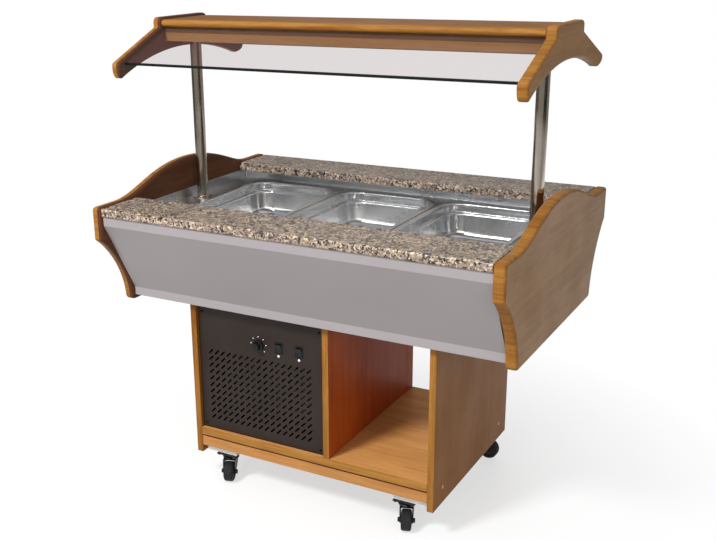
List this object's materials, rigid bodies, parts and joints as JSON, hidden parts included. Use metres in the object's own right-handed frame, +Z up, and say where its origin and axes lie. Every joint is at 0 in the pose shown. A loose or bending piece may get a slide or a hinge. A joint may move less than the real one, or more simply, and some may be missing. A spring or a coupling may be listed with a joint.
{
  "type": "mobile salad bar",
  "caption": "Mobile chilled salad bar: lift-out pans in a granite-edged well between shaped oak end panels, on a wheeled cabinet with a cooling unit, under a glass canopy on posts.",
  "frame": {"origin": "on the floor under the middle of the counter, the bottom centre of the bounding box", "axes": "+X along the counter towards the open storage bay, +Y from the control side to the back, +Z up"},
  "size_m": [1.2, 0.858, 1.34],
  "materials": {
    "oak": "satin lacquered oak",
    "dark_oak": "brown laminate in shade",
    "pale_laminate": "off-white laminate",
    "granite": "polished pinkish-beige granite with grey flecks",
    "grey_sheet": "satin light grey",
    "stainless": "satin stainless",
    "foam": "rigid foam",
    "copper": "drawn copper",
    "black_sheet": "matt black powder coat",
    "black_plastic": "black",
    "lens": "milky white lens",
    "black_paint": "black enamel",
    "zinc": "zinc plated",
    "rubber": "dark grey",
    "chrome": "polished",
    "glass": "clear with a slight lilac tint",
    "white_paint": "white",
    "tube_glass": "opal"
  },
  "bodies": {
    "counter": {"end_panel_left": "oak", "end_panel_right": "oak", "base_side_left": "oak", "base_side_right": "oak", "base_shelf": "oak", "plinth_front": "oak", "plinth_rear": "oak", "canopy_bracket_left": "oak", "canopy_bracket_right": "oak", "canopy_top_board": "oak", "fascia_front": "oak", "fascia_rear": "oak", "base_partition": "dark_oak", "base_top_panel": "dark_oak", "caster_runner_left": "pale_laminate", "caster_runner_right": "pale_laminate", "granite_front": "granite", "granite_rear": "granite", "apron_front": "grey_sheet", "apron_rear": "grey_sheet", "well_tank": "stainless", "pan_bar_left": "stainless", "pan_bar_right": "stainless", "well_jacket": "foam", "evaporator_coil": "copper", "grille_panel": "black_sheet", "rear_service_panel": "black_sheet", "thermostat_body": "black_plastic", "switch_body_left": "black_plastic", "switch_body_right": "black_plastic", "indicator_lamp_left": "lens", "indicator_lamp_right": "lens", "compressor": "black_paint", "caster_plate_front_left": "black_paint", "caster_plate_front_right": "black_paint", "caster_plate_rear_left": "black_paint", "caster_plate_rear_right": "black_paint", "condenser": "zinc", "fan_motor": "zinc", "post_left": "chrome", "post_right": "chrome", "glass_front": "glass", "glass_rear": "glass", "lamp_housing": "white_paint", "lamp_tube": "tube_glass"},
    "knob": {"thermostat_knob": "black_plastic"},
    "rocker_left": {"switch_rocker_left": "black_plastic"},
    "rocker_right": {"switch_rocker_right": "black_plastic"},
    "fan": {"fan_blades": "zinc"},
    "pan_left_body": {"pan_left": "stainless"},
    "pan_middle_body": {"pan_middle": "stainless"},
    "pan_right_body": {"pan_right": "stainless"},
    "caster_front_left": {"caster_fork_front_left": "black_paint"},
    "wheel_front_left": {"caster_wheel_front_left": "rubber"},
    "caster_front_right": {"caster_fork_front_right": "black_paint"},
    "wheel_front_right": {"caster_wheel_front_right": "rubber"},
    "caster_rear_left": {"caster_fork_rear_left": "black_paint"},
    "wheel_rear_left": {"caster_wheel_rear_left": "rubber"},
    "caster_rear_right": {"caster_fork_rear_right": "black_paint"},
    "wheel_rear_right": {"caster_wheel_rear_right": "rubber"}
  },
  "joints": [
    {"name": "caster_front_left_swivel", "type": "hinge", "parent": "counter", "child": "caster_front_left", "pos_m": [-0.296, -0.242, 0.0777], "axis": [0, 0, 1], "continuous": true},
    {"name": "wheel_front_left_roll", "type": "hinge", "parent": "caster_front_left", "child": "wheel_front_left", "pos_m": [-0.28779, -0.26455, 0.03], "axis": [0.9397, 0.342, 0], "continuous": true},
    {"name": "caster_front_right_swivel", "type": "hinge", "parent": "counter", "child": "caster_front_right", "pos_m": [0.286, -0.242, 0.0777], "axis": [0, 0, 1], "continuous": true},
    {"name": "wheel_front_right_roll", "type": "hinge", "parent": "caster_front_right", "child": "wheel_front_right", "pos_m": [0.29421, -0.26455, 0.03], "axis": [0.9397, 0.342, 0], "continuous": true},
    {"name": "caster_rear_left_swivel", "type": "hinge", "parent": "counter", "child": "caster_rear_left", "pos_m": [-0.33, 0.242, 0.0777], "axis": [0, 0, 1], "continuous": true},
    {"name": "wheel_rear_left_roll", "type": "hinge", "parent": "caster_rear_left", "child": "wheel_rear_left", "pos_m": [-0.33702, 0.26495, 0.03], "axis": [-0.9563, -0.2924, 0], "continuous": true},
    {"name": "caster_rear_right_swivel", "type": "hinge", "parent": "counter", "child": "caster_rear_right", "pos_m": [0.32, 0.242, 0.0777], "axis": [0, 0, 1], "continuous": true},
    {"name": "wheel_rear_right_roll", "type": "hinge", "parent": "caster_rear_right", "child": "wheel_rear_right", "pos_m": [0.344, 0.242, 0.03], "axis": [0, 1, 0], "continuous": true},
    {"name": "thermostat_turn", "type": "hinge", "parent": "counter", "child": "knob", "pos_m": [-0.1655, -0.27, 0.4615], "axis": [0, 1, 0], "range_deg": [-126, 132]},
    {"name": "switch_left_rock", "type": "hinge", "parent": "counter", "child": "rocker_left", "pos_m": [-0.0995, -0.27, 0.464], "axis": [1, 0, 0], "range_deg": [-18, 0]},
    {"name": "switch_right_rock", "type": "hinge", "parent": "counter", "child": "rocker_right", "pos_m": [-0.0335, -0.27, 0.464], "axis": [1, 0, 0], "range_deg": [-18, 0]},
    {"name": "pan_left_lift", "type": "slide", "parent": "counter", "child": "pan_left_body", "axis": [0, 0, 1], "range_m": [0, 0.16]},
    {"name": "pan_middle_lift", "type": "slide", "parent": "counter", "child": "pan_middle_body", "axis": [0, 0, 1], "range_m": [0, 0.16]},
    {"name": "pan_right_lift", "type": "slide", "parent": "counter", "child": "pan_right_body", "axis": [0, 0, 1], "range_m": [0, 0.16]},
    {"name": "fan_spin", "type": "hinge", "parent": "counter", "child": "fan", "pos_m": [-0.1625, -0.1528, 0.3028], "axis": [0, 1, 0], "continuous": true}
  ]
}
